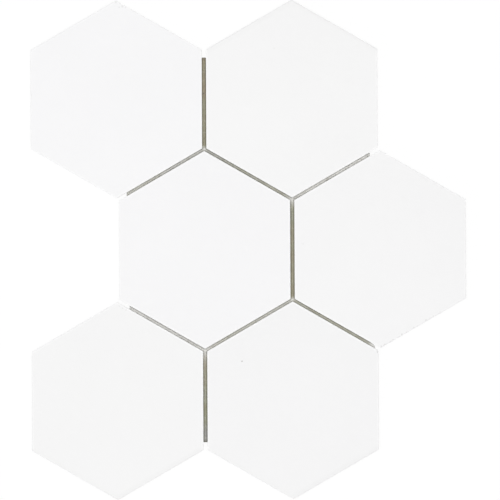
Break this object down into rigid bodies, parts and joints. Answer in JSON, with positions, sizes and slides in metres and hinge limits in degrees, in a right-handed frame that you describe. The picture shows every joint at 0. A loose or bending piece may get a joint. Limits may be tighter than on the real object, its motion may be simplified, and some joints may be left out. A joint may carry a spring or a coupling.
{
  "type": "hexagon mosaic tile sheet",
  "caption": "Mesh-backed sheet of white marble hexagon floor tiles in staggered rows, with open joints between them.",
  "frame": {"origin": "on the floor, under the middle of the sheet", "axes": "+Z out of the tile faces, +Y along the columns towards row 1, +X along the rows towards the side that row 2 steps to"},
  "size_m": [0.2578, 0.2962, 0.0105],
  "materials": {
    "white_marble": "satin",
    "glass_fibre_mesh": "matte",
    "cured_adhesive": "satin"
  },
  "bodies": {
    "root": {"tile_row1_left": "white_marble", "tile_row1_right": "white_marble", "tile_row2_left": "white_marble", "tile_row2_right": "white_marble", "tile_row3_left": "white_marble", "tile_row3_right": "white_marble", "backing_mesh": "glass_fibre_mesh", "joint_adhesive": "cured_adhesive"}
  },
  "joints": []
}
